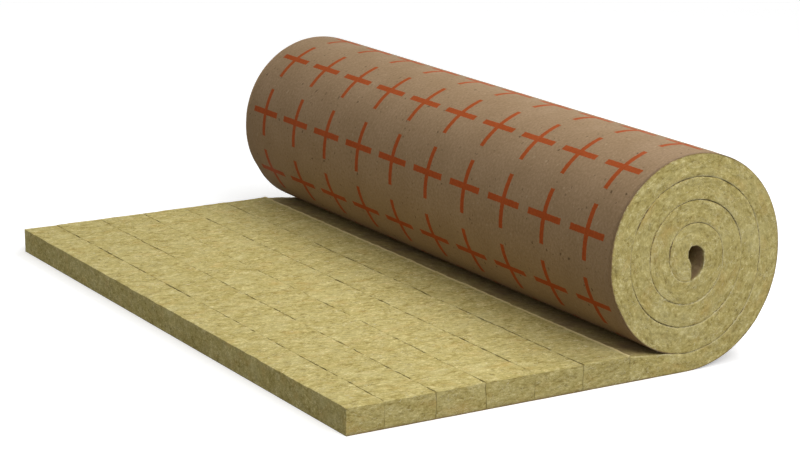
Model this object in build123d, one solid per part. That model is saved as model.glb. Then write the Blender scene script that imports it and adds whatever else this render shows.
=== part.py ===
"""Insulation roll: a mat of wool strips on a paper facing, wound up and partly unrolled on the floor.

Millimetres. The roll's axis runs along Y, the unrolled tail points to -X, and the floor is Z = 0.
The winding is drawn from quarter turns, counted from the line where the mat leaves the floor:
to the right side, to the top, to the left side, and down again, one layer further in.
"""
from build123d import *
from math import asin, cos, degrees, radians, sin
import os

# the mat
mat_width = 1000.0
mat_thickness = 35.0  # wool and facing, lying loose
facing_thickness = 0.5
strip_width = 72.0
strip_gap = 1.0

# the winding
turns = 4
layer_pitch = 30.0  # wool and facing, drawn tight
eye_radius = 24.0  # of the first quarter of the eye
eye_straight = 6.5  # upright part of each side, which makes the roll a little taller than wide
inner_end = 4.0  # how far the mat's inner end runs past the roll's lowest line
turn_gap = 1.2
turn_gap_depth = 10.0
pull_flat = 15.0  # straight part of the lower left side, drawn out by the tail
pull_angle = 30.0  # of that part from upright

# the unrolled tail
tail_length = 502.0  # from the free end to where the mat leaves the floor
sunk_length = 89.0  # of the tail, from the last joint to under the roll's axis, pressed down by the roll
sunk_drop = 1.0  # of the sunk part's top at the last joint
nip_height = 25.0  # of the mat under the roll
nip_angle = 10.0  # short of the roll's lowest line, where its side meets the tail

overrun = 5.0

quarters = 4
quarter_angle = 90.0
left_angle = 2 * quarter_angle
foot_angle = 3 * quarter_angle
step = layer_pitch / quarters
roll_radius = eye_radius + turns * layer_pitch
tail_x = -(tail_length + roll_radius) / 2
roll_x = tail_x + tail_length
joint_x = roll_x - sunk_length
first_inner = turns * quarters


def quarter(index, inset, start_share=0.0, end_share=1.0):
    """An arc of the winding's outer face, or of a line that far inside it."""
    side = index % quarters
    centre_x = roll_x + (step if side in (1, 2) else 0.0)
    centre_z = roll_radius + (eye_straight if side in (1, 2) else 0.0) + (step if side in (2, 3) else 0.0)
    radius = roll_radius - index * step
    start = quarter_angle * (side - 1 + start_share)
    sweep = quarter_angle * (end_share - start_share)
    centre = (centre_x, centre_z)
    if index == quarters:
        upright = centre_z - nip_height
        return EllipticalCenterArc(centre, radius - inset, upright - inset, start, arc_size=sweep)
    return CenterArc(centre, radius - inset, start, sweep)


# the last outer quarter is a bend, a flat and a bend again: two radii fill its width and its height
pull_sine = sin(radians(pull_angle))
pull_cosine = cos(radians(pull_angle))
left_radius = roll_radius - (quarters - 1) * step
left_z = roll_radius + step
across_left = left_radius - pull_flat * pull_sine
down_left = left_z - nip_height - pull_flat * pull_cosine
pull_share = 1 - pull_cosine - pull_sine
bend_radius = (across_left * (1 - pull_sine) - down_left * pull_cosine) / pull_share
foot_radius = (down_left * (1 - pull_cosine) - across_left * pull_sine) / pull_share
bend_centre = (roll_x - left_radius + bend_radius, left_z)
foot_centre = (roll_x, nip_height + foot_radius)


def joined(arcs):
    """The arcs in their order, with a straight line between two that don't meet."""
    edges = arcs[:1]
    for arc in arcs[1:]:
        if edges[-1] @ 1 != arc @ 0:
            edges.append(Line(edges[-1] @ 1, arc @ 0))
        edges.append(arc)
    return edges


def outer_turn(inset):
    """The roll's outside from the floor to the nip, or a line that far inside it."""
    arcs = [quarter(index, inset) for index in range(quarters - 1)]
    arcs.append(CenterArc(bend_centre, bend_radius - inset, left_angle, pull_angle))
    rest = quarter_angle - pull_angle - nip_angle
    arcs.append(CenterArc(foot_centre, foot_radius - inset, left_angle + pull_angle, rest))
    return joined(arcs)


def inner_turns(inset, end_share):
    """The line between the turns, from the nip to the eye."""
    arcs = [CenterArc(foot_centre, foot_radius - inset, foot_angle - nip_angle, nip_angle)]
    arcs += [quarter(index, inset) for index in range(quarters, first_inner)]
    arcs.append(quarter(first_inner, inset, end_share=end_share))
    return joined(arcs)


def across(edges):
    """The solid with this outline in the XZ plane, as long as the mat is wide."""
    return extrude(Plane.XZ * make_face(edges), amount=mat_width / 2, both=True)


outside = outer_turn(0.0)
wool_side = outer_turn(facing_thickness)

# the facing lies under the tail and runs round the roll as far as the nip
facing_edges = outside + wool_side
facing_edges.append(Line((tail_x, 0.0), outside[0] @ 0))
facing_edges.append(Line((tail_x, facing_thickness), wool_side[0] @ 0))
facing_edges.append(Line((tail_x, 0.0), (tail_x, facing_thickness)))
facing_edges.append(Line(outside[-1] @ 1, wool_side[-1] @ 1))
kraft_facing = across(facing_edges)

# the wound wool, with the sunk part of the tail
sunk_x = joint_x + strip_gap / 2
sunk_top = (sunk_x, mat_thickness - sunk_drop)
sunk_foot = (sunk_x, facing_thickness)
roll_edges = list(wool_side)
roll_edges.append(Line(wool_side[-1] @ 1, outside[-1] @ 1))
roll_edges.append(Line(outside[-1] @ 1, sunk_top))
roll_edges.append(Line(sunk_top, sunk_foot))
roll_edges.append(Line(sunk_foot, wool_side[0] @ 0))
wool_roll = across(roll_edges)

# the eye, which the mat's inner end closes on one side
end_share = degrees(asin(inner_end / eye_radius)) / quarter_angle
eye_arcs = [quarter(first_inner, 0.0, start_share=end_share)]
eye_arcs += [quarter(index, 0.0) for index in (first_inner + 1, first_inner + 2)]
eye_edges = joined(eye_arcs)
eye_left = eye_edges[-1] @ 1
eye_foot = (eye_left.X, eye_left.Y - eye_straight)
end_corner = (roll_x + inner_end, (turns + 1) * layer_pitch)
eye_edges.append(Line(eye_left, eye_foot))
eye_edges.append(Line(eye_foot, end_corner))
eye_edges.append(Line(end_corner, eye_edges[0] @ 0))
wool_roll -= across(eye_edges)

# the gap between the turns, cut into both ends and open to the eye
open_share = degrees(asin((inner_end + overrun) / eye_radius)) / quarter_angle
gap_outer = inner_turns(0.0, open_share)
gap_inner = inner_turns(turn_gap, open_share)
gap_edges = gap_outer + gap_inner
gap_edges.append(Line(gap_outer[0] @ 0, gap_inner[0] @ 0))
gap_edges.append(Line(gap_outer[-1] @ 1, gap_inner[-1] @ 1))
gap_face = Plane.XZ * make_face(gap_edges)
for end in (-1, 1):
    cut_from = end * (mat_width / 2 - turn_gap_depth)
    cut = extrude(gap_face, amount=-end * (turn_gap_depth + overrun))
    wool_roll -= Pos(0, cut_from, 0) * cut

# the strips of the tail, the cut one at the free end
flat_length = tail_length - sunk_length
whole_strips = int((flat_length - strip_gap) // strip_width)
strip_height = mat_thickness - facing_thickness
strips = []
for place in range(whole_strips + 1):
    strip_right = joint_x - place * strip_width - strip_gap / 2
    strip_left = max(tail_x, strip_right + strip_gap - strip_width)
    middle = Pos((strip_left + strip_right) / 2, 0, facing_thickness + strip_height / 2)
    strips.append(middle * Box(strip_right - strip_left, mat_width, strip_height))
lamella_strips = Compound(children=strips)

os.makedirs("parts", exist_ok=True)
export_step(wool_roll, "parts/wool_roll.step")
export_step(lamella_strips, "parts/lamella_strips.step")
export_step(kraft_facing, "parts/kraft_facing.step")
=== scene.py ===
"""Looks of the insulation roll: fibrous wool, kraft paper with printed marks, floor, light and camera.

Metres, in the frame of the CAD model: the roll's axis along Y, the tail towards -X, the floor at Z = 0.
"""
import bmesh
import bpy
import math
import numpy as np
from mathutils.bvhtree import BVHTree
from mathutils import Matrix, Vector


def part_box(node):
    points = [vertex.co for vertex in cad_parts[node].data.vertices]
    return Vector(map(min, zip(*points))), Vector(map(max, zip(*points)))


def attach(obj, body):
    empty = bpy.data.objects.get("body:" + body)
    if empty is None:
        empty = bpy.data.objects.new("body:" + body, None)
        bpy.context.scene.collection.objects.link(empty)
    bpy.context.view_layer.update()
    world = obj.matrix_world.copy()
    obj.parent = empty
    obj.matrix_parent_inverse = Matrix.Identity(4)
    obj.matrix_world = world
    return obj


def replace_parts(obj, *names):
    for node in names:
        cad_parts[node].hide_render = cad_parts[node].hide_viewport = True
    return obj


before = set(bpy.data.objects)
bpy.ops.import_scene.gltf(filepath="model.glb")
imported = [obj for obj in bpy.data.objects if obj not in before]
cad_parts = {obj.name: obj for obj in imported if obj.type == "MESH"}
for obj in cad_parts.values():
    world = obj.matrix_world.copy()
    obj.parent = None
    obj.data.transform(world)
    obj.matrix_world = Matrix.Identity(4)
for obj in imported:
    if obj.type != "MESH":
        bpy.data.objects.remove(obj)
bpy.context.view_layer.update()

# sizes of the mat and the winding, as in the CAD model
WIDTH = 1.0
THICKNESS = 0.035
FACING = 0.0005
STRIP = 0.072
STRIP_GAP = 0.001
PITCH = 0.030
TURNS = 4
EYE_RADIUS = 0.024
EYE_STRAIGHT = 0.0065
INNER_END = 0.004
TURN_GAP = 0.0012
GAP_DEPTH = 0.010
PULL_FLAT = 0.015
PULL = math.radians(30)
TAIL = 0.502
SUNK = 0.089
SUNK_DROP = 0.001
NIP_HEIGHT = 0.025
NIP = math.radians(10)

QUARTERS = 4
STEP = PITCH / QUARTERS
RADIUS = EYE_RADIUS + TURNS * PITCH
TAIL_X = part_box("kraft_facing")[0][0]
ROLL_X = TAIL_X + TAIL
JOINT_X = ROLL_X - SUNK
HALF = WIDTH / 2
INNER = TURNS * QUARTERS
RIGHT_ANGLE = math.pi / 2

# the lower left side of the roll: a bend, a flat and a bend down to the nip
LEFT_Z = RADIUS + STEP
LEFT_RADIUS = RADIUS - (QUARTERS - 1) * STEP
ACROSS = LEFT_RADIUS - PULL_FLAT * math.sin(PULL)
DOWN = LEFT_Z - NIP_HEIGHT - PULL_FLAT * math.cos(PULL)
PULL_SHARE = 1 - math.cos(PULL) - math.sin(PULL)
BEND_RADIUS = (ACROSS * (1 - math.sin(PULL)) - DOWN * math.cos(PULL)) / PULL_SHARE
FOOT_RADIUS = (DOWN * (1 - math.cos(PULL)) - ACROSS * math.sin(PULL)) / PULL_SHARE
NIP_X = ROLL_X - FOOT_RADIUS * math.sin(NIP)
NIP_Z = NIP_HEIGHT + FOOT_RADIUS * (1 - math.cos(NIP))

# the print on the facing: plus marks on a square grid
PRINT_PITCH = 0.0976
PRINT_ARM = 0.075
PRINT_STROKE = 0.0088
PRINT_MARGIN = 0.010
PRINT_ROUGH = 0.0007  # of a mark's edges
ROW_AT = 0.5215  # one row, along the sheet from where it leaves the floor
COLUMN_AT = 0.0592 - HALF  # the column by the near end

# noise layers of the relief, the joints and the tints, each with a feature size and a height or share
WOOL_LAYERS = ((0.021, 0.0004), (0.0085, 0.00032), (0.0042, 0.0002))
END_LAYERS = ((0.018, 0.0006), (0.008, 0.0006), (0.0042, 0.00045))
EYE_LAYERS = ((0.012, 0.0005), (0.005, 0.0005))
WANDER_LAYERS = ((0.05, 0.0006), (0.015, 0.0004), (0.007, 0.0003))
CROOKED_LAYERS = ((0.012, 0.0012),)
JOINT_LAYERS = ((0.04, 0.0007), (0.013, 0.0010), (0.006, 0.0007))
TOUCH_LAYERS = ((0.045, 0.50), (0.014, 0.45))
SHADE_PATCH_LAYERS = ((0.030, 0.22), (0.009, 0.18))
BULGE_LAYERS = ((0.16, 0.35), (0.05, 0.15))
TRIM_LAYERS = ((0.03, 0.00036), (0.009, 0.0003))
RIM_LAYERS = ((0.02, 0.4),)

# how densely the noise is read along each axis: less makes it longer that way
STRETCH = np.array([0.45, 0.7, 1.0])
WOUND_STRETCH = np.array([0.5, 0.7, 0.72])
EYE_STRETCH = np.array([1.0, 0.5, 1.0])
BULGE_STRETCH = np.array([1.0, 0.6, 1.0])

# the noise: cells along each side of its table, and how far a seed moves it
CELLS = 32
SEED_SHIFT = 0.37

# seeds of the noise layers and of the loose fibres
LAYER_SEED = 11
STRIP_SEED = 100
AXIS_SEED = 20
WANDER_SEED = 300
CROOKED_SEED = 380
JOINT_SEED = 2353
RIM_SEED = 91
TOUCH_SEED = 71
PALE_SEED = 73
DASH_SEED = 77
SHADE_PATCH_SEED = 87
END_SEED = 41
SUNK_SEED = 43
EYE_SEED = 51
BULGE_SEED = 61
TRIM_SEED = 63
FIBRE_SEED = 7

WELD = 2e-6  # points nearer than this are one
BED = 0.006  # from an edge, over which relief comes in

# tints of the wool: real ones, and painted shade and a painted highlight
PALE = (0.82, 0.76, 0.49)
# pale fluff with a painted highlight, on the rim of the last joint
RIM_FLUFF_AND_HIGHLIGHT = (0.78, 0.66, 0.33)
GLUE_BROWN = (0.17, 0.10, 0.045)
CUT_BROWN = (0.135, 0.085, 0.045)
# painted shade, brown, on the sunk top by the nip
SUNK_PAINTED_SHADE = (0.30, 0.21, 0.12)
# painted shade inside the eye
EYE_PAINTED_SHADE = (0.29, 0.185, 0.115)
# paper brown with painted shade, on the walls and floors of the gaps between the turns
GAP_PAPER_AND_SHADE = (0.13, 0.085, 0.045)

# tones of the wool, the fibres, the paper and the ink, each with its place in the noise
WOOL_TONES = ((0.39, (0.275, 0.213, 0.063)), (0.465, (0.445, 0.36, 0.121)),
              (0.535, (0.55, 0.46, 0.173)), (0.61, (0.76, 0.665, 0.32)))
FIBRE_TONES = ((0.38, (0.50, 0.42, 0.16)), (0.50, (0.70, 0.62, 0.31)),
               (0.62, (0.86, 0.81, 0.56)))
PAPER_TONES = ((0.36, (0.233, 0.153, 0.082)), (0.50, (0.275, 0.184, 0.103)),
               (0.64, (0.325, 0.221, 0.131)))
INK_TONES = ((0.36, (0.27, 0.050, 0.009)), (0.64, (0.36, 0.073, 0.016)))
TAN_WOOL = (0.57, 0.39, 0.125, 1)
PALE_WOOL = (0.68, 0.61, 0.29, 1)
WISP = (0.80, 0.73, 0.42, 1)

# noise in the materials: features to a metre, detail, then roughness and distortion where they are set
CLUMP_NOISE = (120, 5, 0.7, 0.6)
TUFT_NOISE = (280, 3, 0.6, 0.5)
FINE_NOISE = (570, 4, 0.75, 0.4)
TAN_NOISE = (56, 3, 0.6)
PALE_NOISE = (38, 3, 0.6)
WIDE_NOISE = (160, 2, 0.5, 1.2)
NARROW_NOISE = (310, 2, 0.5, 1.0)
PATCHY_NOISE = (80, 2)
FIBRE_NOISE = (130, 3, 0.6)
HAIR_NOISE = (2500, 2)
PULP_NOISE = (240, 5, 0.7)
CLOUD_NOISE = (16, 5, 0.65)
INK_NOISE = (500, 2)

# shares of the noises in the wool's tone and in the paper's
CLUMP_SHARE = 0.32
TUFT_SHARE = 0.35
FINE_SHARE = 0.33
CLOUD_SHARE = 0.25

# what a noise turns into: from and to in the noise, from and to in the result
TAN_SPAN = (0.54, 0.74, 0.0, 0.45)
PALE_SPAN = (0.52, 0.72, 0.0, 0.35)
PATCHY_SPAN = (0.42, 0.62, 0.0, 0.6)
WOOL_GLOSS = (0.39, 0.61, 1.0, 0.85)
FIBRE_GLOSS = (0.3, 0.7, 0.7, 0.95)
PAPER_GLOSS = (0.3, 0.7, 0.75, 0.6)
INK_SPAN = (0.2, 0.8, -PRINT_ROUGH, PRINT_ROUGH)

# widths of the wisps in the noise, and their height beside the tone's
WIDE_WISP = 0.022
NARROW_WISP = 0.03
WISP_HEIGHT = 0.08

# bumps: strength and height
WOOL_BUMP = (0.45, 0.0035)
FIBRE_BUMP = (0.3, 0.0001)
PAPER_BUMP = (0.08, 0.0005)

# specks in the paper: cells to a metre, size in a cell, share of the cells left out, strength and colour
DARK_FLECK = (0.075, 0.042, 0.02, 1)
PALE_FLECK = (0.40, 0.30, 0.19, 1)
FLECKS = ((30, 0.065, 0.82, 0.75, DARK_FLECK), (85, 0.13, 0.86, 0.5, DARK_FLECK),
          (36, 0.085, 0.86, 0.4, PALE_FLECK), (95, 0.12, 0.86, 0.4, PALE_FLECK))
FLECK_SHAKE = (180, 0.008)  # noise that makes them uneven: features to a metre, and reach


def lattice(points, size, seed):
    """Smooth noise from -1 to 1, with features of about that size."""
    table = np.random.default_rng(seed).uniform(-1, 1, (CELLS, CELLS, CELLS))
    spot = np.asarray(points) / size + seed * SEED_SHIFT
    cell = np.floor(spot).astype(int)
    part = spot - cell
    part = part ** 3 * (part * (part * 6 - 15) + 10)
    total = 0.0
    for corner in np.ndindex(2, 2, 2):
        weight = np.prod(np.where(corner, part, 1 - part), axis=-1)
        at = (cell + corner) % CELLS
        total = total + weight * table[at[..., 0], at[..., 1], at[..., 2]]
    return total


def rough(points, layers, seed):
    """The sum of noise layers."""
    total = 0.0
    for n, (size, height) in enumerate(layers):
        total = total + height * lattice(points, size, seed + LAYER_SEED * n)
    return total


def ease(value):
    """The value held from 0 to 1, with a soft start and end."""
    value = np.clip(value, 0, 1)
    return value * value * (3 - 2 * value)


def tinted(*parts):
    """A colour and its share at each point, from (colour, share) parts laid over each other."""
    colour, whole = np.zeros(3), np.zeros(1)
    for tint, share in parts:
        share = np.clip(np.asarray(share, float), 0, 1)[..., None]
        kept = whole * (1 - share)
        whole = kept + share
        colour = (colour * kept + np.array(tint) * share) / np.maximum(whole, WELD)
    return np.concatenate([colour, whole], axis=-1)


def quarter(index, angle, inset):
    """Points of a quarter of the winding's outer face, or of a line that far inside it, as (x, z)."""
    side = index % QUARTERS
    turn = (side - 1) * RIGHT_ANGLE + angle
    if index == QUARTERS - 1:
        bend = angle < PULL
        radius = np.where(bend, BEND_RADIUS, FOOT_RADIUS) - inset
        centre_x = np.where(bend, ROLL_X - LEFT_RADIUS + BEND_RADIUS, ROLL_X)
        centre_z = np.where(bend, LEFT_Z, NIP_HEIGHT + FOOT_RADIUS)
        upright = radius
    else:
        radius = RADIUS - index * STEP - inset
        centre_x = ROLL_X + (STEP if side in (1, 2) else 0)
        centre_z = RADIUS + (EYE_STRAIGHT if side in (1, 2) else 0) + (STEP if side in (2, 3) else 0)
        upright = centre_z - NIP_HEIGHT - inset if index == QUARTERS else radius
    return np.column_stack([centre_x + radius * np.cos(turn), centre_z + upright * np.sin(turn)])


def lift(section, y):
    """Section points (x, z) set at y."""
    section = np.asarray(section)
    return np.stack([section[..., 0], np.broadcast_to(y, section.shape[:-1]), section[..., 1]], axis=-1)


# meshes

def carry(mesh, name, values):
    """Keeps a vector or a number at each point of a mesh."""
    kind, field = ("FLOAT_VECTOR", "vector") if values.ndim == 2 else ("FLOAT", "value")
    mesh.attributes.new(name, kind, "POINT").data.foreach_set(field, values.ravel())


def read(items, field):
    """A vector of each vertex, polygon or attribute item, as rows."""
    values = np.empty(len(items) * 3)
    items.foreach_get(field, values)
    return values.reshape(-1, 3)


def place(name, mesh, material, smooth=True):
    """The object with this mesh and material; smooth is for all of its faces or for each."""
    mesh.polygons.foreach_set("use_smooth", np.broadcast_to(smooth, len(mesh.polygons)).tolist())
    mesh.materials.append(material)
    piece = bpy.data.objects.new(name, mesh)
    bpy.context.scene.collection.objects.link(piece)
    return piece


class Shell:
    """Grids of points that become one mesh, joined where they share points.

    Each point also has a place in the mat, along it, across it and through it, where the material's
    pattern is read, and a tint with its share.
    """

    def __init__(self):
        self.points = []
        self.grain = []
        self.tint = []
        self.faces = []
        self.count = 0

    def add(self, points, grain, tint, faces):
        points = np.asarray(points, float)
        self.points.append(points.reshape(-1, 3))
        self.grain.append(np.asarray(grain, float).reshape(-1, 3))
        self.tint.append(np.broadcast_to(tint, points.shape[:-1] + (4,)).reshape(-1, 4))
        self.faces += faces
        self.count += points.size // 3

    def grid(self, points, grain, tint=(0, 0, 0, 0)):
        rows, columns = np.shape(points)[:2]
        number = self.count + np.arange(rows * columns).reshape(rows, columns)
        corners = [number[:-1, :-1], number[1:, :-1], number[1:, 1:], number[:-1, 1:]]
        self.add(points, grain, tint, np.stack(corners, axis=-1).reshape(-1, 4).tolist())

    def loop(self, points, grain):
        self.add(points, grain, (0, 0, 0, 0), [list(range(self.count, self.count + len(points)))])

    def build(self, name, material, shape):
        """The object, with its points moved by shape."""
        mesh = bpy.data.meshes.new(name)
        mesh.from_pydata(np.concatenate(self.points).tolist(), [], self.faces)
        tint = np.concatenate(self.tint)
        carry(mesh, "grain", np.concatenate(self.grain))
        carry(mesh, "tint", tint[:, :3])
        carry(mesh, "tint_share", tint[:, 3])
        work = bmesh.new()
        work.from_mesh(mesh)
        bmesh.ops.remove_doubles(work, verts=work.verts, dist=WELD)
        bmesh.ops.recalc_face_normals(work, faces=work.faces)
        work.to_mesh(mesh)
        work.free()
        moved = shape(read(mesh.vertices, "co"), read(mesh.attributes["grain"].data, "vector"))
        mesh.vertices.foreach_set("co", moved.ravel())
        mesh.update()
        return place(name, mesh, material)


# materials

def put(tree, kind, inputs=None, **settings):
    """A node with its settings and inputs; an input is a value or another node's output."""
    made = tree.nodes.new(kind)
    for key, value in settings.items():
        setattr(made, key, value)
    for key, value in (inputs or {}).items():
        if isinstance(value, bpy.types.NodeSocket):
            tree.links.new(value, made.inputs[key])
        else:
            made.inputs[key].default_value = value
    return made


def calculate(tree, operation, *values):
    return put(tree, "ShaderNodeMath", dict(enumerate(values)), operation=operation).outputs[0]


def noise(tree, vector, scale, detail=2.0, roughness=0.5, distortion=0.0):
    inputs = {"Vector": vector, "Scale": scale, "Detail": detail}
    inputs.update({"Roughness": roughness, "Distortion": distortion})
    return put(tree, "ShaderNodeTexNoise", inputs).outputs[0]


def between(tree, value, low, high, to_low=0.0, to_high=1.0):
    inputs = {0: value, 1: low, 2: high, 3: to_low, 4: to_high}
    return put(tree, "ShaderNodeMapRange", inputs, clamp=True).outputs[0]


def blend(tree, share, first, second):
    return put(tree, "ShaderNodeMix", {0: share, 6: first, 7: second}, data_type="RGBA").outputs[2]


def ramp(tree, value, stops):
    made = put(tree, "ShaderNodeValToRGB", {0: value})
    entries = made.color_ramp.elements
    while len(entries) < len(stops):
        entries.new(0.5)
    for entry, (at, colour) in zip(entries, stops):
        entry.position = at
        entry.color = (*colour, 1)
    return made.outputs[0]


def surface(name, **values):
    """A new material with one Principled shader, and its node tree."""
    material = bpy.data.materials.new(name)
    material.use_nodes = True
    shader = material.node_tree.nodes["Principled BSDF"]
    for key, value in values.items():
        shader.inputs[key.replace("_", " ")].default_value = value
    return material, material.node_tree, shader


def bumped(tree, shader, height, strength, distance):
    made = put(tree, "ShaderNodeBump", {"Height": height, "Strength": strength, "Distance": distance})
    tree.links.new(made.outputs[0], shader.inputs["Normal"])


def shaken(tree, vector, scale, reach):
    """Places moved about by a noise, so that what is drawn on them turns out uneven."""
    push = put(tree, "ShaderNodeTexNoise", {"Vector": vector, "Scale": scale}).outputs["Color"]
    inputs = {0: push, 1: (reach, reach, reach), 2: vector}
    return put(tree, "ShaderNodeVectorMath", inputs, operation="MULTIPLY_ADD").outputs[0]


def thread(tree, value, width):
    """Thin lines where a noise crosses its middle."""
    away = calculate(tree, "ABSOLUTE", calculate(tree, "SUBTRACT", value, 0.5))
    return between(tree, away, 0.0, width, 1.0, 0.0)


def wool_material(name):
    """Clumps, tufts and fine fibres, with tan and pale areas and pale wisps."""
    material, tree, shader = surface(name, Specular_IOR_Level=0.1)
    grain = put(tree, "ShaderNodeAttribute", attribute_name="grain").outputs["Vector"]
    tint = put(tree, "ShaderNodeAttribute", attribute_name="tint").outputs["Vector"]
    share = put(tree, "ShaderNodeAttribute", attribute_name="tint_share").outputs["Fac"]
    clump = calculate(tree, "MULTIPLY", noise(tree, grain, *CLUMP_NOISE), CLUMP_SHARE)
    tuft = calculate(tree, "MULTIPLY", noise(tree, grain, *TUFT_NOISE), TUFT_SHARE)
    fine = calculate(tree, "MULTIPLY", noise(tree, grain, *FINE_NOISE), FINE_SHARE)
    tone = calculate(tree, "ADD", calculate(tree, "ADD", clump, tuft), fine)
    colour = ramp(tree, tone, WOOL_TONES)
    tan = between(tree, noise(tree, grain, *TAN_NOISE), *TAN_SPAN)
    colour = blend(tree, tan, colour, TAN_WOOL)
    pale = between(tree, noise(tree, grain, *PALE_NOISE), *PALE_SPAN)
    colour = blend(tree, pale, colour, PALE_WOOL)
    wide = thread(tree, noise(tree, grain, *WIDE_NOISE), WIDE_WISP)
    narrow = thread(tree, noise(tree, grain, *NARROW_NOISE), NARROW_WISP)
    wisps = calculate(tree, "MAXIMUM", wide, narrow)
    patchy = between(tree, noise(tree, grain, *PATCHY_NOISE), *PATCHY_SPAN)
    colour = blend(tree, calculate(tree, "MULTIPLY", wisps, patchy), colour, WISP)
    colour = blend(tree, share, colour, tint)
    tree.links.new(colour, shader.inputs["Base Color"])
    tree.links.new(between(tree, tone, *WOOL_GLOSS), shader.inputs["Roughness"])
    height = calculate(tree, "ADD", tone, calculate(tree, "MULTIPLY", wisps, WISP_HEIGHT))
    bumped(tree, shader, height, *WOOL_BUMP)
    return material


def fibre_material(name):
    """Loose fibres, paler than the wool they lie on."""
    material, tree, shader = surface(name, Specular_IOR_Level=0.2)
    spot = put(tree, "ShaderNodeTexCoord").outputs["Object"]
    tone = noise(tree, spot, *FIBRE_NOISE)
    tree.links.new(ramp(tree, tone, FIBRE_TONES), shader.inputs["Base Color"])
    fine = noise(tree, spot, *HAIR_NOISE)
    tree.links.new(between(tree, fine, *FIBRE_GLOSS), shader.inputs["Roughness"])
    bumped(tree, shader, fine, *FIBRE_BUMP)
    return material


def printed(tree, along, over, wander):
    """Share of ink: plus marks at every print pitch along and across the sheet."""
    sides = []
    for value, at in ((along, ROW_AT), (over, COLUMN_AT)):
        away = calculate(tree, "PINGPONG", calculate(tree, "SUBTRACT", value, at), PRINT_PITCH / 2)
        sides.append(calculate(tree, "ADD", away, wander))
    bars = []
    for short, long in (sides, sides[::-1]):
        thin = calculate(tree, "LESS_THAN", short, PRINT_STROKE / 2)
        bars.append(calculate(tree, "MULTIPLY", thin, calculate(tree, "LESS_THAN", long, PRINT_ARM / 2)))
    inside = calculate(tree, "LESS_THAN", calculate(tree, "ABSOLUTE", over), HALF - PRINT_MARGIN)
    return calculate(tree, "MULTIPLY", calculate(tree, "MAXIMUM", *bars), inside)


def paper_material(name):
    """Kraft paper with pulp, clouds and specks, and the printed marks."""
    material, tree, shader = surface(name, Specular_IOR_Level=0.05)
    spot = put(tree, "ShaderNodeUVMap", uv_map="sheet").outputs[0]
    parts = put(tree, "ShaderNodeSeparateXYZ", {0: spot})
    pulp = noise(tree, spot, *PULP_NOISE)
    cloud = noise(tree, spot, *CLOUD_NOISE)
    tone = blend(tree, CLOUD_SHARE, pulp, cloud)
    colour = ramp(tree, tone, PAPER_TONES)
    uneven = shaken(tree, spot, *FLECK_SHAKE)
    for scale, size, left_out, strength, tint in FLECKS:
        inputs = {"Vector": uneven, "Scale": scale}
        cells = put(tree, "ShaderNodeTexVoronoi", inputs, voronoi_dimensions="2D")
        pick = put(tree, "ShaderNodeSeparateColor", {0: cells.outputs["Color"]}).outputs[0]
        dot = between(tree, cells.outputs["Distance"], size / 2, size, strength, 0.0)
        share = calculate(tree, "MULTIPLY", dot, calculate(tree, "GREATER_THAN", pick, left_out))
        colour = blend(tree, share, colour, tint)
    wander = between(tree, noise(tree, spot, *INK_NOISE), *INK_SPAN)
    ink = ramp(tree, tone, INK_TONES)
    colour = blend(tree, printed(tree, parts.outputs[0], parts.outputs[1], wander), colour, ink)
    tree.links.new(colour, shader.inputs["Base Color"])
    tree.links.new(between(tree, cloud, *PAPER_GLOSS), shader.inputs["Roughness"])
    bumped(tree, shader, pulp, *PAPER_BUMP)
    return material


wool = wool_material("stone_wool")
paper = paper_material("kraft_paper")
fibre = fibre_material("wool_fibre")


# the strips of the tail

STRIP_STEPS = (0.0024, 0.0025, 0.0032)  # between points, along each axis
EDGE_STEP = 0.0005  # from an edge to the next points
EDGE_INSET = 0.0012  # from an edge to the even steps
EDGE_ROUND = 0.0005
GRAIN_SHIFT = 0.9  # from one strip's pattern to the next one's
RIM = 0.0036
RIM_RISE = 0.0010
RIM_SHARE = 0.95  # the most of its tint
RIM_START = 1.3  # its tint at the joint, before it is held to the most
RIM_EVEN = 0.9  # its tint without the noise
CUT_SHARE = 0.07  # of brown on the ends
WALL_SHARE = 0.35  # of brown in the joints
GLUE = 0.0020
GLUE_SHARE = 0.8
OPEN_FIRST = 0.0003  # half the gap of the first joint
OPEN_MORE = 0.0002  # added at the near end for each joint closer to the roll
SHUT_JOINT = 0.00003
WIDEST_JOINT = 0.0012
END_SHUT = 0.75  # of the gap, at the two ends

strip_count = math.ceil((JOINT_X - TAIL_X - STRIP_GAP) / STRIP)


def sampled(low, high, step):
    """Places from low to high, about that step apart and closer at both ends."""
    count = round((high - low - 2 * EDGE_INSET) / step)
    middle = np.linspace(low + EDGE_INSET, high - EDGE_INSET, count + 1)
    return np.concatenate([[low, low + EDGE_STEP], middle, [high - EDGE_STEP, high]])


def strip_tint(points, number, fixed):
    """The darker ends and joint walls, the pale rim of the last joint (fluff with a painted highlight)
    and the glue line on the paper.
    """
    from_joint = JOINT_X - STRIP_GAP / 2 - points[..., 0]
    # the rim by the last joint: pale fluff, with a painted highlight of its edge
    by_rim = (RIM_START - from_joint / RIM) * (points[..., 2] > THICKNESS - RIM)
    broken = RIM_EVEN + rough(points * (0, 1, 0), RIM_LAYERS, RIM_SEED)
    rim = np.clip(by_rim * broken, 0, RIM_SHARE) * (number == strip_count - 1)
    in_joint = (fixed == 0) * (points[..., 0] > TAIL_X + EDGE_STEP) * (from_joint > EDGE_STEP)
    inward = HALF - np.abs(points[..., 1])
    cut = WALL_SHARE * in_joint * ease(inward / BED) + CUT_SHARE * (fixed == 1)
    glue = GLUE_SHARE * ease(1 - (points[..., 2] - FACING) / GLUE) * (fixed == 1)
    return tinted((CUT_BROWN, cut), (GLUE_BROWN, glue), (RIM_FLUFF_AND_HIGHLIGHT, rim))


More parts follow.
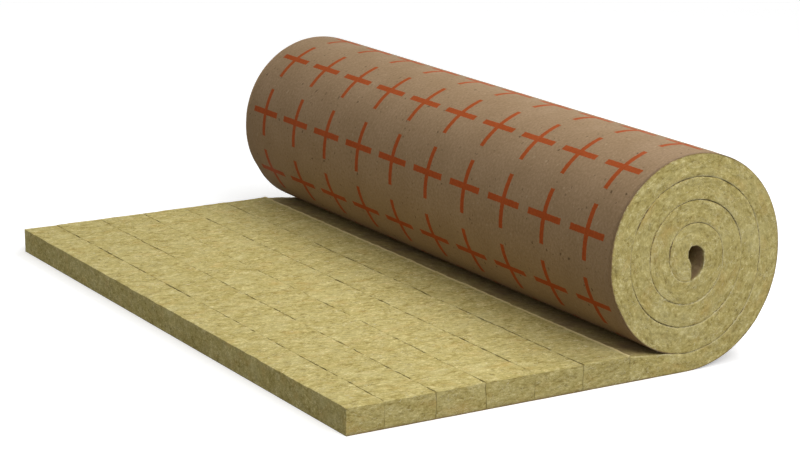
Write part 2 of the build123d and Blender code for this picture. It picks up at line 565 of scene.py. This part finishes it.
def strip_shell(low, high, number):
    """A box with grids for its sides and one face for its bottom."""
    shell = Shell()
    axes = [sampled(*reach) for reach in zip(low, high, STRIP_STEPS)]
    for fixed in range(3):
        first, second = [n for n in range(3) if n != fixed]
        a, b = np.meshgrid(axes[first], axes[second], indexing="ij")
        for value in (low[fixed], high[fixed]):
            points = np.empty(a.shape + (3,))
            points[..., first], points[..., second], points[..., fixed] = a, b, value
            grain = points * STRETCH + (GRAIN_SHIFT * number, 0, 0)
            if fixed == 2 and value == low[2]:
                sides = (np.s_[:-1, 0], np.s_[-1, :-1], np.s_[:0:-1, -1], np.s_[0, :0:-1])
                shell.loop(*[np.concatenate([part[side] for side in sides]) for part in (points, grain)])
            else:
                shell.grid(points, grain, strip_tint(points, number, fixed))
    return shell


def joint_line(points, number):
    """How far a joint wanders, and half of its gap, which is widest by the roll and at the near end."""
    along = points * (0, 1, 1)
    by_end = ease((np.abs(points[:, 1]) - HALF + BED) / BED)
    wander = rough(along, WANDER_LAYERS, WANDER_SEED + number)
    wander = wander + by_end * rough(along, CROOKED_LAYERS, CROOKED_SEED + number)
    near_open = OPEN_FIRST + OPEN_MORE * (number - 1)
    far_open = OPEN_FIRST / number
    opening = near_open + (far_open - near_open) * (points[:, 1] + HALF) / WIDTH
    half_gap = (opening + rough(along, JOINT_LAYERS, JOINT_SEED + number)) * (1 - END_SHUT * by_end)
    return wander, np.clip(half_gap, SHUT_JOINT, WIDEST_JOINT)


def strip_shape(low, high, number):
    """Rounds a strip's edges, roughens its faces and lets its joints wander."""
    low, high = np.array(low), np.array(high)

    def shape(points, grain):
        core = np.clip(points, low + EDGE_ROUND, high - EDGE_ROUND)
        core[:, 2] = np.clip(points[:, 2], low[2], high[2] - EDGE_ROUND)
        off = points - core
        reach = np.maximum(np.linalg.norm(off, axis=1, keepdims=True), EDGE_ROUND)
        moved = core + off / reach * EDGE_ROUND
        loose = ease((points[:, 2] - low[2]) / BED)
        for axis in range(3):
            heights = rough(grain, WOOL_LAYERS, STRIP_SEED + AXIS_SEED * axis)
            if axis == 0:
                # joints have a wander of their own, and the free end of the first strip is no joint
                inside = np.minimum(points[:, 0] - low[0] + (number == 0), high[0] - points[:, 0])
                heights = heights * ease(inside / BED)
            moved[:, axis] += loose * heights
        for side, joint in ((0, number), (1, number + 1)):
            if joint:
                wander, half_gap = joint_line(points, joint)
                away = (points[:, 0] - low[0]) if side == 0 else (high[0] - points[:, 0])
                shut = (STRIP_GAP / 2 - half_gap) * (-1 if side == 0 else 1)
                moved[:, 0] += ease(1 - away / BED) * (wander + shut)
        if number == strip_count - 1:
            moved[:, 2] += RIM_RISE * ease(1 - (high[0] - points[:, 0]) / RIM) * loose
        return moved

    return shape


strips = []
for number in range(strip_count):
    right = JOINT_X - (strip_count - 1 - number) * STRIP - STRIP_GAP / 2
    left = max(TAIL_X, right + STRIP_GAP - STRIP)
    corners = (left, -HALF, FACING), (right, HALF, THICKNESS)
    shell = strip_shell(*corners, number)
    piece = shell.build(f"strip_{number + 1}", wool, strip_shape(*corners, number))
    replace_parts(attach(piece, "root"), "lamella_strips")
    strips.append(piece)


# the wound mat: a strip in section, row by row from the last joint to its inner end

SAMPLES = 72  # steps in a quarter turn
SUNK_SAMPLES = 36  # steps along the sunk part
SUNK_ACROSS = 400  # steps across it
SUNK_SHADE_FADE = 0.012  # from an end, over which its painted shade comes in
SUNK_SHADE_SHARE = 0.50  # of its painted shade, without the noise
TONGUE_SAMPLES = 4
TONGUE_FALL = 0.008  # of the mat's torn inner end
TONGUE_CURVE = 1.3
TOP_SLACK = 0.0001  # over the sunk top, and still counted as on it
EDGE_FALL = 0.0005  # of a turn's edges at the ends of the roll
EDGE_REACH = 0.0009
OUTSIDE_FALL = 0.2  # of that fall, on the edge by the paper
PALE_REACH = 0.0010
PALE_SHARE = 0.55
PALE_KEPT = 0.45  # of the pale edge, without the noise
GLUE_KEPT = 0.25  # of the brown line between the turns, without the noise
GLUE_REACH = 0.0007
GAP_SHADE_SHARE = 0.85
MAT_FROM = 0.2  # where the wound mat's pattern starts
GAP_OPEN = 0.66  # of the gap between the turns, without the noise
GAP_PRESSED = 0.5  # of it, shut at the bottom
GAP_LEAST = 0.06
PRESS_LEAN = 0.4  # of the pressed side, to the right
PRESS_SPREAD = 1.6  # of the pressing, in radii
EYE_ASIDE = 0.012  # the middle of the eye, from the roll's axis
EYE_ABOVE = 0.002
EYE_X = ROLL_X + EYE_ASIDE
EYE_Z = RADIUS + EYE_ABOVE
EYE_REACH = 0.034  # of its frayed edge
EYE_DEPTHS = np.array([0.0, 0.0015, 0.004, 0.008, 0.014, 0.025, 0.05])
EYE_SHARES = np.linspace(0.1, 0.9, 17)
EYE_DARK = 0.006  # where its painted shade is darkest, from an end
EYE_DEEP = 0.05  # where that has faded
EYE_SHARE = 0.85
EYE_FADE = 0.7

angles = np.linspace(0, RIGHT_ANGLE, SAMPLES + 1)
nip_from = int(np.argmin(np.abs(angles - (RIGHT_ANGLE - NIP))))


def gap_at(section):
    """Width of the gap outside a turn: the turns touch in places, most of all at the bottom."""
    away = section - (ROLL_X, RADIUS)
    pressed = ease(0.5 + (PRESS_LEAN * away[:, 0] - away[:, 1]) / (PRESS_SPREAD * RADIUS))
    width = GAP_OPEN + rough(lift(section, 0.0), TOUCH_LAYERS, TOUCH_SEED) - GAP_PRESSED * pressed
    return TURN_GAP * np.clip(width, GAP_LEAST, 1.0)


def turn_rows(index):
    """(outer, inner) lines of one quarter of the mat."""
    outer = quarter(index, angles, 0.0)
    if index < QUARTERS:
        outer = quarter(index, angles, FACING)
        if index == QUARTERS - 1:
            shut = angles >= angles[nip_from]
            outer[shut] = quarter(index, angles, gap_at(outer))[shut]
    else:
        outer = quarter(index, angles, gap_at(outer))
    return outer, quarter(index + QUARTERS, angles, 0.0)


# rows of the sunk part, to the nip and on under the roll
sunk_x = np.linspace(JOINT_X + STRIP_GAP / 2, NIP_X, SUNK_SAMPLES + 1)
sunk_share = (sunk_x - sunk_x[0]) / (NIP_X - sunk_x[0])
sunk_z = THICKNESS - SUNK_DROP + sunk_share * (NIP_Z - THICKNESS + SUNK_DROP)
under = quarter(QUARTERS - 1, angles[nip_from:], 0.0)
sunk_inner = np.vstack([np.column_stack([sunk_x, sunk_z])[:-1], under])
sunk_outer = np.column_stack([sunk_inner[:, 0], np.full(len(sunk_inner), FACING)])
open_rows = len(sunk_x)

# rows of the turns, and of the torn inner end
turn_parts = [turn_rows(index) for index in range(INNER)]
last_outer, last_inner = turn_parts[-1][0][-1], turn_parts[-1][1][-1]
tongue_x = np.linspace(0, INNER_END, TONGUE_SAMPLES + 1)[1:]
tongue = np.column_stack([tongue_x, np.zeros(TONGUE_SAMPLES)])
torn = np.column_stack([tongue_x, -TONGUE_FALL * (tongue_x / INNER_END) ** TONGUE_CURVE])
outer_line = np.vstack([sunk_outer] + [outer for outer, inner in turn_parts] + [last_outer + tongue])
inner_line = np.vstack([sunk_inner] + [inner for outer, inner in turn_parts] + [last_inner + torn])
first_row = {index: len(sunk_outer) + index * (SAMPLES + 1) for index in range(INNER + 1)}
nip_row = first_row[QUARTERS - 1] + nip_from

# points through the mat, closer by its two faces, and how far they lie back at the ends
EDGE_SHARES = np.array([0.0, 0.012, 0.03, 0.06, 0.10])
MIDDLE_SHARES = np.linspace(0.16, 0.84, 12)
shares = np.concatenate([EDGE_SHARES, MIDDLE_SHARES, 1 - EDGE_SHARES[::-1]])
section = outer_line[:, None] + shares[None, :, None] * (inner_line - outer_line)[:, None]
layer = np.linalg.norm(inner_line - outer_line, axis=1)[:, None]
from_outer, from_inner = shares * layer, (1 - shares) * layer
outside = np.arange(len(section))[:, None] < nip_row
outer_edge = np.where(outside, OUTSIDE_FALL, 1.0) * np.exp(-(from_outer / EDGE_REACH) ** 2)
fall = EDGE_FALL * (outer_edge + np.exp(-(from_inner / EDGE_REACH) ** 2))

row_steps = np.linalg.norm(np.diff(section.mean(axis=1), axis=0), axis=1)
along_mat = np.broadcast_to(np.concatenate([[0.0], np.cumsum(row_steps)])[:, None], from_inner.shape)


def mat_place(rows, columns, y):
    """The place in the mat of some points of the section."""
    along, through = along_mat[rows, columns], from_inner[rows, columns]
    spots = np.stack([along, np.broadcast_to(y, along.shape), through], axis=-1)
    return spots * WOUND_STRETCH + (MAT_FROM, 0, 0)


def turn_slice(index):
    """The rows of one quarter of the mat."""
    return slice(first_row[index], first_row[index] + SAMPLES + 1)


broken = PALE_KEPT + rough(lift(section, 0.0), TOUCH_LAYERS, PALE_SEED)
pale_edge = PALE_SHARE * np.clip(broken, 0, 1) * np.exp(-(from_inner / PALE_REACH) ** 2)
dashed = np.clip(GLUE_KEPT + rough(lift(section, 0.0), TOUCH_LAYERS, DASH_SEED), 0, 1)
glue_edge = GLUE_SHARE * np.exp(-(from_outer / GLUE_REACH) ** 2) * np.where(outside, 1.0, dashed)
end_tint = tinted((GLUE_BROWN, glue_edge), (PALE, pale_edge))
gap_paper_shade_tint = tinted((GAP_PAPER_AND_SHADE, GAP_SHADE_SHARE))

# both end faces, with the walls and the floor of the gap between the turns, in paper brown with painted
# shade
roll = Shell()
whole = slice(None)
ends = {}
for end in (-1, 1):
    face = lift(section, 0.0)
    face[..., 1] = end * (HALF - fall)
    ends[end] = face
    roll.grid(face, mat_place(whole, whole, end * HALF), end_tint)
    deep = end * (HALF - GAP_DEPTH)
    gap_walls = [(slice(nip_row, first_row[QUARTERS]), 0), (slice(first_row[QUARTERS], None), 0),
                 (slice(open_rows - 1, first_row[INNER - QUARTERS]), -1)]
    for rows, column in gap_walls:
        line = face[rows, column]
        sunken = line.copy()
        sunken[:, 1] = deep
        places = [mat_place(rows, column, y) for y in (end * HALF, deep)]
        roll.grid(np.stack([line, sunken], axis=1), np.stack(places, axis=1), gap_paper_shade_tint)
    gap_floors = [(slice(nip_row, first_row[QUARTERS]), slice(open_rows - 1, len(sunk_outer)))]
    for index in range(QUARTERS, INNER):
        gap_floors.append((turn_slice(index), turn_slice(index - QUARTERS)))
    for rows, above in gap_floors:
        places = [mat_place(rows, 0, deep), mat_place(above, -1, deep)]
        lines = [lift(outer_line[rows], deep), lift(inner_line[above], deep)]
        roll.grid(np.stack(lines, axis=1), np.stack(places, axis=1), gap_paper_shade_tint)


def between_ends(rows, columns, steps, tint=(0, 0, 0, 0)):
    """A wall from one end face to the other, along one edge of the section."""
    walls = [ends[-1][rows, columns] * (1 - step) + ends[1][rows, columns] * step for step in steps]
    places = [mat_place(rows, columns, WIDTH * step - HALF) for step in steps]
    roll.grid(np.stack(walls, axis=1), np.stack(places, axis=1), tint)


def from_end(steps):
    """Distance from the nearer end of the roll."""
    return HALF - np.abs(WIDTH * steps - HALF)


# the walls between the ends: under the paper, the sunk top, the eye, the last joint and the inner end
plain_steps = np.array([0.0, 1.0])
eye_steps = np.concatenate([EYE_DEPTHS / WIDTH, EYE_SHARES, 1 - EYE_DEPTHS[::-1] / WIDTH])
eye_depth = from_end(eye_steps)
# painted shade on the eye's wall, strongest a little way in from each end and fading deeper in
eye_shade_share = ease(eye_depth / EYE_DARK) * (1 - EYE_FADE * ease(eye_depth / EYE_DEEP))
eye_shade_tint = tinted((EYE_PAINTED_SHADE, EYE_SHARE * eye_shade_share))
sunk_steps = np.linspace(0, 1, SUNK_ACROSS + 1)
sunk_line = np.repeat(sunk_inner[:open_rows, None], len(sunk_steps), axis=1)
# painted shade on the sunk top by the nip: brown, patchy, fading in from each end
patchy = SUNK_SHADE_SHARE + rough(lift(sunk_line, WIDTH * sunk_steps - HALF), SHADE_PATCH_LAYERS, SHADE_PATCH_SEED)
sunk_shade_tint = tinted((SUNK_PAINTED_SHADE, patchy * ease(from_end(sunk_steps) / SUNK_SHADE_FADE)))
between_ends(slice(0, nip_row + 1), 0, plain_steps)
between_ends(slice(0, open_rows), -1, sunk_steps, sunk_shade_tint)
between_ends(slice(first_row[INNER - QUARTERS], None), -1, eye_steps, eye_shade_tint)
between_ends(0, whole, plain_steps)
between_ends(-1, whole, eye_steps, eye_shade_tint)


def roll_shape(points, grain):
    """Roughens the ends, the sunk top and the eye, and leaves what lies under the paper."""
    moved = points.copy()
    by_end = ease((np.abs(points[:, 1]) - HALF + BED) / BED)
    moved[:, 1] += by_end * rough(grain, END_LAYERS, END_SEED)
    top = np.interp(points[:, 0], sunk_x, sunk_z)
    by_top = ease((points[:, 2] - top + BED) / BED) * (points[:, 2] < top + TOP_SLACK)
    moved[:, 2] += by_top * ease((NIP_X - points[:, 0]) / BED) * rough(grain, WOOL_LAYERS, SUNK_SEED)
    from_eye = np.hypot(points[:, 0] - EYE_X, points[:, 2] - EYE_Z)
    by_eye = ease((EYE_REACH - from_eye) / BED)
    for axis in (0, 2):
        moved[:, axis] += by_eye * rough(points * EYE_STRETCH, EYE_LAYERS, EYE_SEED + axis)
    return moved


wound = roll.build("wound_wool", wool, roll_shape)
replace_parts(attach(wound, "root"), "wool_roll")


# loose fibres on the wool

FIBRE_BEND = np.linspace(-0.5, 0.5, 4)  # places along a fibre, in its length
FIBRE_TAPER = np.array([0.4, 1.0, 1.0, 0.4])  # its radius there
FIBRE_RISE = np.array([-1.0, 0.8, 1.0, -1.0])  # its height over the wool there, in radii
FIBRE_SIDES = 3
FIBRE_BOW = 0.7  # the most that it bends aside
STRIP_FIBRES = 900
END_FIBRES = 4000
LINE_TUFTS = 450
TOP_TILT = 0.5  # the least of a normal along an axis, for a strip's top and ends
END_TILT = 0.6  # the same for the ends of the roll
END_ODDS = 1.5  # of a fibre on a strip's end, to one on its top
FIBRE_RADIUS = (0.00008, 0.0002)
FIBRE_LENGTH = (0.003, 0.011)
TUFT_RADIUS = (0.00015, 0.0003)
TUFT_LENGTH = (0.002, 0.005)


def scattered(piece, count, weight, draw):
    """Middles and normals of faces of a piece, drawn with the weight that each has."""
    polygons = piece.data.polygons
    areas = np.empty(len(polygons))
    polygons.foreach_get("area", areas)
    middles, normals = read(polygons, "center"), read(polygons, "normal")
    odds = areas * weight(middles, normals)
    picked = draw.choice(len(areas), count, p=odds / odds.sum())
    return middles[picked], normals[picked]


def unit(vectors):
    """The vectors at length 1."""
    return vectors / np.maximum(np.linalg.norm(vectors, axis=-1, keepdims=True), WELD)


def strew(piece, spots, radii, lengths, draw):
    """Points of thin bent tubes that lie on a piece, with both tips in it: one row for each tube."""
    middles, normals = spots
    count = len(middles)
    way = unit(np.cross(normals, draw.normal(size=(count, 3))))
    side = np.cross(normals, way)
    length, radius = [draw.uniform(*limits, (count, 1, 1)) for limits in (lengths, radii)]
    bow = draw.uniform(-FIBRE_BOW, FIBRE_BOW, (count, 1, 1)) * FIBRE_BEND[:, None] ** 2
    path = middles[:, None] + length * (FIBRE_BEND[:, None] * way[:, None] + bow * side[:, None])
    polygons = [tuple(polygon.vertices) for polygon in piece.data.polygons]
    tree = BVHTree.FromPolygons(read(piece.data.vertices, "co").tolist(), polygons)
    hits = [tree.find_nearest(point) for point in path.reshape(-1, 3).tolist()]
    path = np.array([hit[0] for hit in hits]).reshape(path.shape)
    upward = np.array([hit[1] for hit in hits]).reshape(path.shape)
    path += upward * radius * FIBRE_RISE[:, None]
    beside = unit(np.cross(np.gradient(path, axis=1), upward))
    turns = np.linspace(0, 2 * math.pi, FIBRE_SIDES, endpoint=False)[:, None]
    rings = np.cos(turns) * upward[:, :, None] + np.sin(turns) * beside[:, :, None]
    return path[:, :, None] + rings * (radius * FIBRE_TAPER[:, None])[:, :, None]


def fibre_piece(name, tubes):
    """The piece that these tubes make, each closed at both tips."""
    points = np.concatenate(tubes)
    number = np.arange(points.size // 3).reshape(points.shape[:-1])
    onward = np.roll(number, -1, axis=2)
    corners = [number[:, :-1], number[:, 1:], onward[:, 1:], onward[:, :-1]]
    faces = np.stack(corners, axis=-1).reshape(-1, 4).tolist()
    faces += number[:, 0].tolist() + number[:, -1, ::-1].tolist()
    mesh = bpy.data.meshes.new(name)
    mesh.from_pydata(points.reshape(-1, 3).tolist(), [], faces)
    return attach(place(name, mesh, fibre), "root")


def tail_weight(middles, normals):
    """Fibres on the top and, closer together, on and by the two ends."""
    by_end = np.abs(middles[:, 1]) > HALF - BED / 2
    return (normals[:, 2] > TOP_TILT) + END_ODDS * (np.abs(normals[:, 1]) > TOP_TILT) + by_end


def end_weight(middles, normals):
    """Only on the two ends of the roll."""
    return (np.abs(normals[:, 1]) > END_TILT) * (np.abs(middles[:, 1]) > HALF - BED / 2)


draw = np.random.default_rng(FIBRE_SEED)
tail_tubes = []
for piece in strips:
    spots = scattered(piece, STRIP_FIBRES, tail_weight, draw)
    tail_tubes.append(strew(piece, spots, FIBRE_RADIUS, FIBRE_LENGTH, draw))
fibre_piece("tail_fibres", tail_tubes)

# over the ends of the roll, and in tufts along the lower part of the lines between the turns
spots = scattered(wound, END_FIBRES, end_weight, draw)
roll_tubes = [strew(wound, spots, FIBRE_RADIUS, FIBRE_LENGTH, draw)]
low_rows = np.flatnonzero(inner_line[:, 1] < RADIUS)
for end in (-1, 1):
    rows = draw.choice(low_rows, LINE_TUFTS)
    spots = ends[end][rows, -1], np.broadcast_to((0.0, float(end), 0.0), (len(rows), 3))
    roll_tubes.append(strew(wound, spots, TUFT_RADIUS, TUFT_LENGTH, draw))
fibre_piece("roll_fibres", roll_tubes)


# the facing, with its length along the mat and across it as the print's coordinates

PAPER_SAMPLES = 36  # steps in a quarter turn
FLOOR_SAMPLES = 42  # steps along the floor
PAPER_COLUMNS = 141
PAPER_SHORT = 0.0004  # of its edges, behind the ends of the wool
PAPER_BULGE = 0.0008  # the most that it stands off the wool
BULGE_EVEN = 0.5  # of that, without the noise
FREE_FROM = 0.12  # from the floor, over which it comes free
FREE_TO = 0.08  # before the nip, over which it lies down again
CALM_EDGE = 0.03  # from an edge, over which it starts to bulge
paper_angles = np.linspace(0, RIGHT_ANGLE, PAPER_SAMPLES + 1)
paper_lines = {}
for inset in (0.0, FACING):
    floor_x = np.linspace(TAIL_X, ROLL_X, FLOOR_SAMPLES + 1)[:-1]
    parts = [np.column_stack([floor_x, np.full(len(floor_x), inset)])]
    for index in range(QUARTERS):
        reach = 1 - NIP / RIGHT_ANGLE if index == QUARTERS - 1 else 1
        points = quarter(index, paper_angles * reach, inset)
        meets_last = index == 2  # at the top of the roll, with no upright part between
        parts.append(points[1:] if meets_last else points)
    paper_lines[inset] = np.vstack(parts)
outer_paper = paper_lines[0.0]
steps = np.linalg.norm(np.diff(outer_paper, axis=0), axis=1)
along = np.concatenate([[0.0], np.cumsum(steps)]) - TAIL
across = np.linspace(-HALF, HALF, PAPER_COLUMNS)

outward = unit(np.gradient(outer_paper, axis=0))[:, ::-1] * (1, -1)
sheet_at = np.stack(np.meshgrid(along, across, [0.0], indexing="ij"), axis=-1)[:, :, 0]
bulge = np.clip(BULGE_EVEN + rough(sheet_at * BULGE_STRETCH, BULGE_LAYERS, BULGE_SEED), 0, 1)
free = ease(along / FREE_FROM) * ease((along[-1] - along) / FREE_TO)
calm = ease((HALF - np.abs(across)) / CALM_EDGE)
rise = PAPER_BULGE * bulge * free[:, None] * calm
edge_at = np.column_stack([along, 0 * along, 0 * along])
trim = PAPER_SHORT * free + rough(edge_at, TRIM_LAYERS, TRIM_SEED)
sides = []
for inset in (0.0, FACING):
    points = lift(paper_lines[inset][:, None] + rise[..., None] * outward[:, None], across)
    points[:, 0, 1] += trim
    points[:, -1, 1] -= trim[::-1]
    sides.append(points.reshape(-1, 3))
numbers = np.arange(2 * sheet_at.size // 3).reshape(2, len(along), len(across))
quads = []
for sheet in (numbers[0], numbers[1, :, ::-1]):
    corners = [sheet[:-1, :-1], sheet[1:, :-1], sheet[1:, 1:], sheet[:-1, 1:]]
    quads.append(np.stack(corners, axis=-1).reshape(-1, 4))
for line in (numbers[::-1, :, 0], numbers[:, :, -1], numbers[:, 0], numbers[::-1, -1]):
    quads.append(np.stack([line[0, :-1], line[1, :-1], line[1, 1:], line[0, 1:]], axis=-1))
mesh = bpy.data.meshes.new("facing_sheet")
mesh.from_pydata(np.concatenate(sides).tolist(), [], np.concatenate(quads).tolist())
corner_points = np.empty(len(mesh.loops), int)
mesh.loops.foreach_get("vertex_index", corner_points)
spots = np.tile(sheet_at.reshape(-1, 3)[:, :2], (2, 1))
mesh.uv_layers.new(name="sheet").data.foreach_set("uv", spots[corner_points].ravel())
on_sheet = np.arange(len(mesh.polygons)) < 2 * len(quads[0])
piece = place("facing_sheet", mesh, paper, on_sheet)
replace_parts(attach(piece, "root"), "kraft_facing")


# floor, light and camera

FLOOR_HALF = 12.0
FLOOR_SHOWN = (0.94, 0.94, 0.94, 1)
FLOOR_BOUNCE = (0.20, 0.20, 0.20, 1)
FLOOR_GLOW = 0.37
SKY = 0.455
CAMERA_AT = (-1.6803, -2.9257, 0.9623)
CAMERA_DOWN = 14.484  # degrees below level
CAMERA_TURN = -30.546  # degrees from +Y


def seen_directly(tree):
    """1 for what the camera sees by itself, in gloss or through glass, and 0 for light on the object."""
    path = put(tree, "ShaderNodeLightPath").outputs
    mirrored = calculate(tree, "MAXIMUM", path["Is Glossy Ray"], path["Is Transmission Ray"])
    return calculate(tree, "MAXIMUM", path["Is Camera Ray"], mirrored)


floor_corners = [(x * FLOOR_HALF, y * FLOOR_HALF, 0) for x, y in ((-1, -1), (1, -1), (1, 1), (-1, 1))]
floor_mesh = bpy.data.meshes.new("floor")
floor_mesh.from_pydata(floor_corners, [], [(0, 1, 2, 3)])
floor_material, tree, shader = surface("pale_floor", Roughness=0.9, Specular_IOR_Level=0.1)
seen = seen_directly(tree)
tree.links.new(blend(tree, seen, FLOOR_BOUNCE, FLOOR_SHOWN), shader.inputs["Base Color"])
shader.inputs["Emission Color"].default_value = (1, 1, 1, 1)
tree.links.new(calculate(tree, "MULTIPLY", seen, FLOOR_GLOW), shader.inputs["Emission Strength"])
place("floor", floor_mesh, floor_material, False)

world = bpy.data.worlds.new("studio")
bpy.context.scene.world = world
world.use_nodes = True
tree = world.node_tree
background = tree.nodes["Background"]
background.inputs["Color"].default_value = (1, 1, 1, 1)
tree.links.new(between(tree, seen_directly(tree), 0.0, 1.0, SKY, 1.0), background.inputs["Strength"])


def lamp(name, kind, energy, location, aim):
    """A lamp of that kind at a place, turned to another."""
    data = bpy.data.lights.new(name, kind)
    data.energy = energy
    made = bpy.data.objects.new(name, data)
    bpy.context.scene.collection.objects.link(made)
    made.location = location
    made.rotation_euler = (Vector(aim) - Vector(location)).to_track_quat("-Z", "Y").to_euler()
    return data


key = lamp("key", "SUN", energy=0.84, location=(0, -1, 1), aim=(0, 0, 0))
key.angle = math.radians(40)
over = lamp("over", "AREA", energy=6.5, location=(0.5, -0.15, 1.05), aim=(0.1, -0.15, 0.1))
over.shape = "RECTANGLE"
over.size = 1.3
over.size_y = 0.5
fill = lamp("fill", "AREA", energy=9.7, location=(-0.2, -1.9, 1.3), aim=(-0.1, -0.45, 0.05))
fill.shape = "DISK"
fill.size = 1.0

camera_data = bpy.data.cameras.new("camera")
camera = bpy.data.objects.new("camera", camera_data)
bpy.context.scene.collection.objects.link(camera)
camera_data.sensor_fit = "HORIZONTAL"
camera_data.sensor_width = 36
camera_data.lens = 110.96
camera_data.clip_end = 60
camera.location = CAMERA_AT
camera.rotation_euler = (math.radians(90 - CAMERA_DOWN), 0, math.radians(CAMERA_TURN))
bpy.context.scene.camera = camera

bpy.context.scene.view_settings.view_transform = "Standard"
